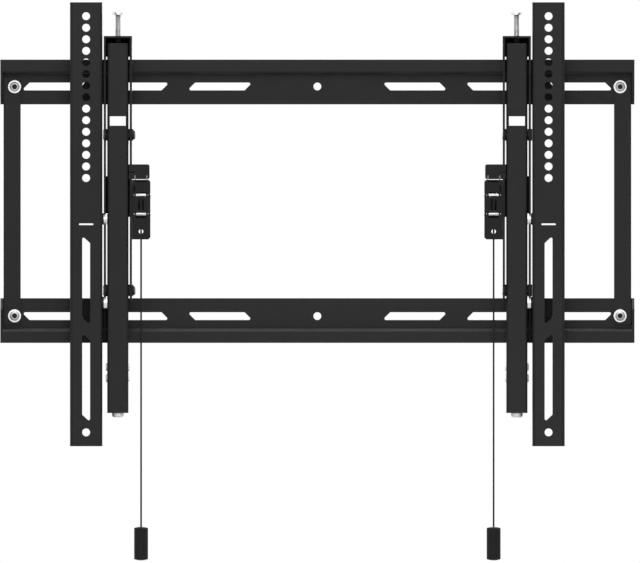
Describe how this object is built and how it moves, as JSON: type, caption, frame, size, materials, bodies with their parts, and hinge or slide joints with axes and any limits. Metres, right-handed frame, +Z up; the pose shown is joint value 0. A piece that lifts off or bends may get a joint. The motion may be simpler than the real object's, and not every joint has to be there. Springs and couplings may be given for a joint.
{
  "type": "tilting tv wall bracket",
  "caption": "Black steel tilting wall bracket for a flat screen: stepped rails with side bars, hooked arms with slotted screen bars, levelling screws and cord-released latches.",
  "frame": {"origin": "on the wall plane, midway between the centre holes of the upper and lower rail", "axes": "+X to the right seen from the room, +Y into the wall, +Z up"},
  "size_m": [0.6868, 0.055, 0.6036],
  "materials": {
    "black_steel": "satin black powder coat",
    "zinc_steel": "bright zinc plating",
    "black_plastic": "fine moulded grain",
    "black_nylon": "plain nylon",
    "cord": "braided cord",
    "spring_steel": "spring wire"
  },
  "bodies": {
    "wall_plate": {"upper_rail": "black_steel", "lower_rail": "black_steel", "left_side_bar": "black_steel", "right_side_bar": "black_steel", "plate_screws": "zinc_steel"},
    "left_shoe": {"left_glide_shoe": "black_nylon"},
    "left_level": {"left_level_screw": "zinc_steel"},
    "left_hanger": {"left_hook_frame": "black_steel", "left_level_nut": "black_steel", "left_pivot_pin": "zinc_steel", "left_guide_pin": "zinc_steel", "left_pin_washers": "black_nylon", "left_latch_guides": "zinc_steel", "left_guide_rods": "spring_steel", "left_return_springs": "spring_steel"},
    "left_tilter": {"left_screen_bar": "black_steel", "left_tilt_channel": "black_steel", "left_joint_bolts": "zinc_steel", "left_joint_nuts": "zinc_steel", "left_joint_spacers": "zinc_steel", "left_joint_washers": "black_steel", "left_channel_plug": "black_plastic", "left_plug_screws": "zinc_steel", "left_end_screw": "zinc_steel"},
    "left_latch": {"left_latch_bar": "black_steel", "left_release_slider": "black_steel", "left_slider_screw": "black_steel", "left_cross_pins": "zinc_steel", "left_pull_cord": "cord", "left_pull_handle": "black_plastic"},
    "right_shoe": {"right_glide_shoe": "black_nylon"},
    "right_level": {"right_level_screw": "zinc_steel"},
    "right_hanger": {"right_hook_frame": "black_steel", "right_level_nut": "black_steel", "right_pivot_pin": "zinc_steel", "right_guide_pin": "zinc_steel", "right_pin_washers": "black_nylon", "right_latch_guides": "zinc_steel", "right_guide_rods": "spring_steel", "right_return_springs": "spring_steel"},
    "right_tilter": {"right_screen_bar": "black_steel", "right_tilt_channel": "black_steel", "right_joint_bolts": "zinc_steel", "right_joint_nuts": "zinc_steel", "right_joint_spacers": "zinc_steel", "right_joint_washers": "black_steel", "right_channel_plug": "black_plastic", "right_plug_screws": "zinc_steel", "right_end_screw": "zinc_steel"},
    "right_latch": {"right_latch_bar": "black_steel", "right_release_slider": "black_steel", "right_slider_screw": "black_steel", "right_cross_pins": "zinc_steel", "right_pull_cord": "cord", "right_pull_handle": "black_plastic"}
  },
  "joints": [
    {"name": "left_shift", "type": "slide", "parent": "wall_plate", "child": "left_shoe", "axis": [-1, 0, 0], "range_m": [-0.15, 0.05]},
    {"name": "left_lift", "type": "slide", "parent": "left_shoe", "child": "left_hanger", "axis": [0, 0, 1], "range_m": [0, 0.006]},
    {"name": "left_level_turn", "type": "hinge", "parent": "left_shoe", "child": "left_level", "pos_m": [-0.2158, -0.01525, 0.18], "axis": [0, 0, 1], "range_deg": [-2160, 0]},
    {"name": "left_tilt", "type": "hinge", "parent": "left_hanger", "child": "left_tilter", "pos_m": [-0.2158, -0.043, -0.0965], "axis": [1, 0, 0], "range_deg": [0, 10]},
    {"name": "left_release", "type": "slide", "parent": "left_hanger", "child": "left_latch", "axis": [0, 0, -1], "range_m": [0, 0.012], "stiffness_N_per_m": 500, "springref_m": -0.01, "deforming": ["left_return_springs"]},
    {"name": "right_shift", "type": "slide", "parent": "wall_plate", "child": "right_shoe", "axis": [1, 0, 0], "range_m": [-0.15, 0.05]},
    {"name": "right_lift", "type": "slide", "parent": "right_shoe", "child": "right_hanger", "axis": [0, 0, 1], "range_m": [0, 0.006]},
    {"name": "right_level_turn", "type": "hinge", "parent": "right_shoe", "child": "right_level", "pos_m": [0.2158, -0.01525, 0.18], "axis": [0, 0, 1], "range_deg": [-2160, 0]},
    {"name": "right_tilt", "type": "hinge", "parent": "right_hanger", "child": "right_tilter", "pos_m": [0.2158, -0.043, -0.0965], "axis": [1, 0, 0], "range_deg": [0, 10]},
    {"name": "right_release", "type": "slide", "parent": "right_hanger", "child": "right_latch", "axis": [0, 0, -1], "range_m": [0, 0.012], "stiffness_N_per_m": 500, "springref_m": -0.01, "deforming": ["right_return_springs"]}
  ],
  "couplings": [
    {"joint": "left_level_turn", "follows": "left_lift", "rad_per_m": -6283.2},
    {"joint": "right_level_turn", "follows": "right_lift", "rad_per_m": -6283.2}
  ]
}
